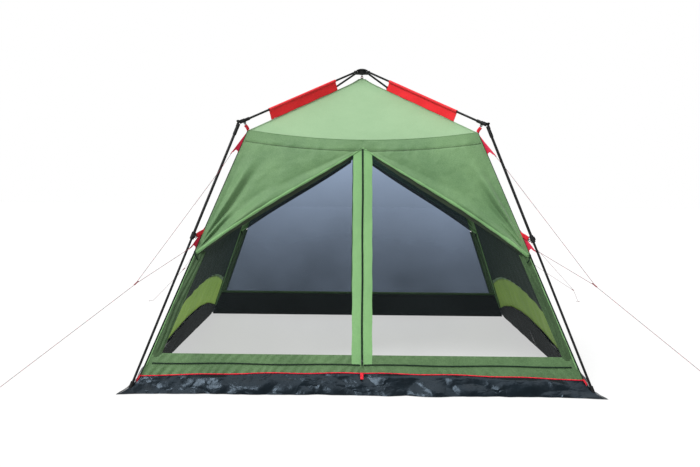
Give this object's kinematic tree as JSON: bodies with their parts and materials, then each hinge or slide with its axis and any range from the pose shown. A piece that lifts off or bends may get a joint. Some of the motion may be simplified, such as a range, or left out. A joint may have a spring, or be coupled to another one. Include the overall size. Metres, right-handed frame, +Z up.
{
  "type": "pop up tent",
  "caption": "Square screened camping shelter with a folding steel umbrella frame outside and a fabric canopy with mesh doors, tied back storm flaps, mud skirt and guy lines.",
  "frame": {"origin": "on the ground at the centre of the base", "axes": "+Z up, -Y out through the front door, +X to the right seen from the front"},
  "size_m": [4.8179, 4.8603, 2.2761],
  "materials": {
    "frame_steel": "black powder coat",
    "black_plastic": "moulded, fine grain",
    "button_plastic": "moulded",
    "pin_steel": "plain",
    "roof_cloth": "coated polyester",
    "wall_cloth": "coated polyester",
    "mesh_cloth": "fine insect mesh and cloth borders",
    "zip_tape": "coil zip on woven tape",
    "zip_slider": "enamelled",
    "red_webbing": "woven polyester",
    "red_plastic": "moulded",
    "skirt_film": "crinkled woven film",
    "guy_cord": "braided, grey with red flecks"
  },
  "bodies": {
    "hub": {"hub_body": "black_plastic", "hub_cap": "black_plastic", "hub_pins": "pin_steel", "canopy_hook": "black_plastic", "roof_panels": "roof_cloth", "front_storm_flaps": "wall_cloth", "rear_storm_flaps": "wall_cloth", "front_mesh_doors": "mesh_cloth", "rear_mesh_doors": "mesh_cloth", "left_side_wall": "wall_cloth", "right_side_wall": "wall_cloth", "door_zips": "zip_tape", "hem_piping": "red_webbing", "mud_skirt": "skirt_film", "hip_sleeves": "red_webbing", "webbing_straps": "red_webbing", "red_gussets": "red_webbing", "line_runners": "red_plastic", "guy_bridle_front_left": "guy_cord", "guy_bridle_front_right": "guy_cord", "guy_bridle_rear_right": "guy_cord", "guy_bridle_rear_left": "guy_cord", "guy_line_front_left": "guy_cord", "guy_line_front_right": "guy_cord", "guy_line_rear_right": "guy_cord", "guy_line_rear_left": "guy_cord"},
    "arm_front_left": {"arm_tube_front_left": "frame_steel", "elbow_socket_front_left": "black_plastic"},
    "upper_leg_front_left": {"knee_knuckle_front_left": "black_plastic", "upper_leg_front_left": "frame_steel", "lock_collar_front_left": "black_plastic"},
    "lower_leg_front_left": {"lower_leg_front_left": "frame_steel", "foot_cap_front_left": "black_plastic"},
    "button_front_left": {"lock_button_front_left": "button_plastic"},
    "arm_front_right": {"arm_tube_front_right": "frame_steel", "elbow_socket_front_right": "black_plastic"},
    "upper_leg_front_right": {"knee_knuckle_front_right": "black_plastic", "upper_leg_front_right": "frame_steel", "lock_collar_front_right": "black_plastic"},
    "lower_leg_front_right": {"lower_leg_front_right": "frame_steel", "foot_cap_front_right": "black_plastic"},
    "button_front_right": {"lock_button_front_right": "button_plastic"},
    "arm_rear_right": {"arm_tube_rear_right": "frame_steel", "elbow_socket_rear_right": "black_plastic"},
    "upper_leg_rear_right": {"knee_knuckle_rear_right": "black_plastic", "upper_leg_rear_right": "frame_steel", "lock_collar_rear_right": "black_plastic"},
    "lower_leg_rear_right": {"lower_leg_rear_right": "frame_steel", "foot_cap_rear_right": "black_plastic"},
    "button_rear_right": {"lock_button_rear_right": "button_plastic"},
    "arm_rear_left": {"arm_tube_rear_left": "frame_steel", "elbow_socket_rear_left": "black_plastic"},
    "upper_leg_rear_left": {"knee_knuckle_rear_left": "black_plastic", "upper_leg_rear_left": "frame_steel", "lock_collar_rear_left": "black_plastic"},
    "lower_leg_rear_left": {"lower_leg_rear_left": "frame_steel", "foot_cap_rear_left": "black_plastic"},
    "button_rear_left": {"lock_button_rear_left": "button_plastic"},
    "front_zip": {"front_zip_slider": "zip_slider"},
    "rear_zip": {"rear_zip_slider": "zip_slider"}
  },
  "joints": [
    {"name": "arm_fold_front_left", "type": "hinge", "parent": "hub", "child": "arm_front_left", "pos_m": [-0.0495, -0.0495, 2.24506], "axis": [0.7071, -0.7071, 0], "range_deg": [0, 67.97], "deforming": ["roof_panels", "front_storm_flaps", "rear_storm_flaps", "front_mesh_doors", "rear_mesh_doors", "left_side_wall", "right_side_wall", "door_zips", "hem_piping", "mud_skirt", "hip_sleeves", "webbing_straps", "red_gussets", "line_runners", "guy_bridle_front_left", "guy_bridle_front_right", "guy_bridle_rear_right", "guy_bridle_rear_left", "guy_line_front_left", "guy_line_front_right", "guy_line_rear_right", "guy_line_rear_left"]},
    {"name": "knee_fold_front_left", "type": "hinge", "parent": "arm_front_left", "child": "upper_leg_front_left", "pos_m": [-0.89274, -0.89274, 1.7787], "axis": [-0.7071, 0.7071, 0], "range_deg": [0, 222.64]},
    {"name": "leg_slide_front_left", "type": "slide", "parent": "upper_leg_front_left", "child": "lower_leg_front_left", "axis": [0.3081, 0.3081, 0.9001], "range_m": [0, 0.72]},
    {"name": "lock_press_front_left", "type": "slide", "parent": "upper_leg_front_left", "child": "button_front_left", "axis": [-0.7071, 0.7071, 0], "range_m": [0, 0.004], "stiffness_N_per_m": 800},
    {"name": "arm_fold_front_right", "type": "hinge", "parent": "hub", "child": "arm_front_right", "pos_m": [0.0495, -0.0495, 2.24506], "axis": [0.7071, 0.7071, 0], "range_deg": [0, 68.17]},
    {"name": "knee_fold_front_right", "type": "hinge", "parent": "arm_front_right", "child": "upper_leg_front_right", "pos_m": [0.89274, -0.89274, 1.7787], "axis": [-0.7071, -0.7071, 0], "range_deg": [0, 222.64]},
    {"name": "leg_slide_front_right", "type": "slide", "parent": "upper_leg_front_right", "child": "lower_leg_front_right", "axis": [-0.3081, 0.3081, 0.9001], "range_m": [0, 0.72]},
    {"name": "lock_press_front_right", "type": "slide", "parent": "upper_leg_front_right", "child": "button_front_right", "axis": [-0.7071, -0.7071, 0], "range_m": [0, 0.004], "stiffness_N_per_m": 800},
    {"name": "arm_fold_rear_right", "type": "hinge", "parent": "hub", "child": "arm_rear_right", "pos_m": [0.0495, 0.0495, 2.24506], "axis": [-0.7071, 0.7071, 0], "range_deg": [0, 68.17]},
    {"name": "knee_fold_rear_right", "type": "hinge", "parent": "arm_rear_right", "child": "upper_leg_rear_right", "pos_m": [0.89274, 0.89274, 1.7787], "axis": [0.7071, -0.7071, 0], "range_deg": [0, 222.64]},
    {"name": "leg_slide_rear_right", "type": "slide", "parent": "upper_leg_rear_right", "child": "lower_leg_rear_right", "axis": [-0.3081, -0.3081, 0.9001], "range_m": [0, 0.72]},
    {"name": "lock_press_rear_right", "type": "slide", "parent": "upper_leg_rear_right", "child": "button_rear_right", "axis": [0.7071, -0.7071, 0], "range_m": [0, 0.004], "stiffness_N_per_m": 800},
    {"name": "arm_fold_rear_left", "type": "hinge", "parent": "hub", "child": "arm_rear_left", "pos_m": [-0.0495, 0.0495, 2.24506], "axis": [-0.7071, -0.7071, 0], "range_deg": [0, 68.17]},
    {"name": "knee_fold_rear_left", "type": "hinge", "parent": "arm_rear_left", "child": "upper_leg_rear_left", "pos_m": [-0.89274, 0.89274, 1.7787], "axis": [0.7071, 0.7071, 0], "range_deg": [0, 222.64]},
    {"name": "leg_slide_rear_left", "type": "slide", "parent": "upper_leg_rear_left", "child": "lower_leg_rear_left", "axis": [0.3081, -0.3081, 0.9001], "range_m": [0, 0.72]},
    {"name": "lock_press_rear_left", "type": "slide", "parent": "upper_leg_rear_left", "child": "button_rear_left", "axis": [0.7071, 0.7071, 0], "range_m": [0, 0.004], "stiffness_N_per_m": 800},
    {"name": "front_zip_slide", "type": "slide", "parent": "upper_leg_front_left", "child": "front_zip", "axis": [0, 0.3482, 0.9374], "range_m": [0, 1.3]},
    {"name": "rear_zip_slide", "type": "slide", "parent": "upper_leg_rear_right", "child": "rear_zip", "axis": [0, -0.3482, 0.9374], "range_m": [0, 1.3]}
  ],
  "couplings": [
    {"joint": "knee_fold_front_left", "follows": "arm_fold_front_left", "ratio": 3.2682},
    {"joint": "arm_fold_front_right", "follows": "arm_fold_front_left", "ratio": 1},
    {"joint": "knee_fold_front_right", "follows": "arm_fold_front_left", "ratio": 3.2682},
    {"joint": "arm_fold_rear_right", "follows": "arm_fold_front_left", "ratio": 1},
    {"joint": "knee_fold_rear_right", "follows": "arm_fold_front_left", "ratio": 3.2682},
    {"joint": "arm_fold_rear_left", "follows": "arm_fold_front_left", "ratio": 1},
    {"joint": "knee_fold_rear_left", "follows": "arm_fold_front_left", "ratio": 3.2682}
  ]
}
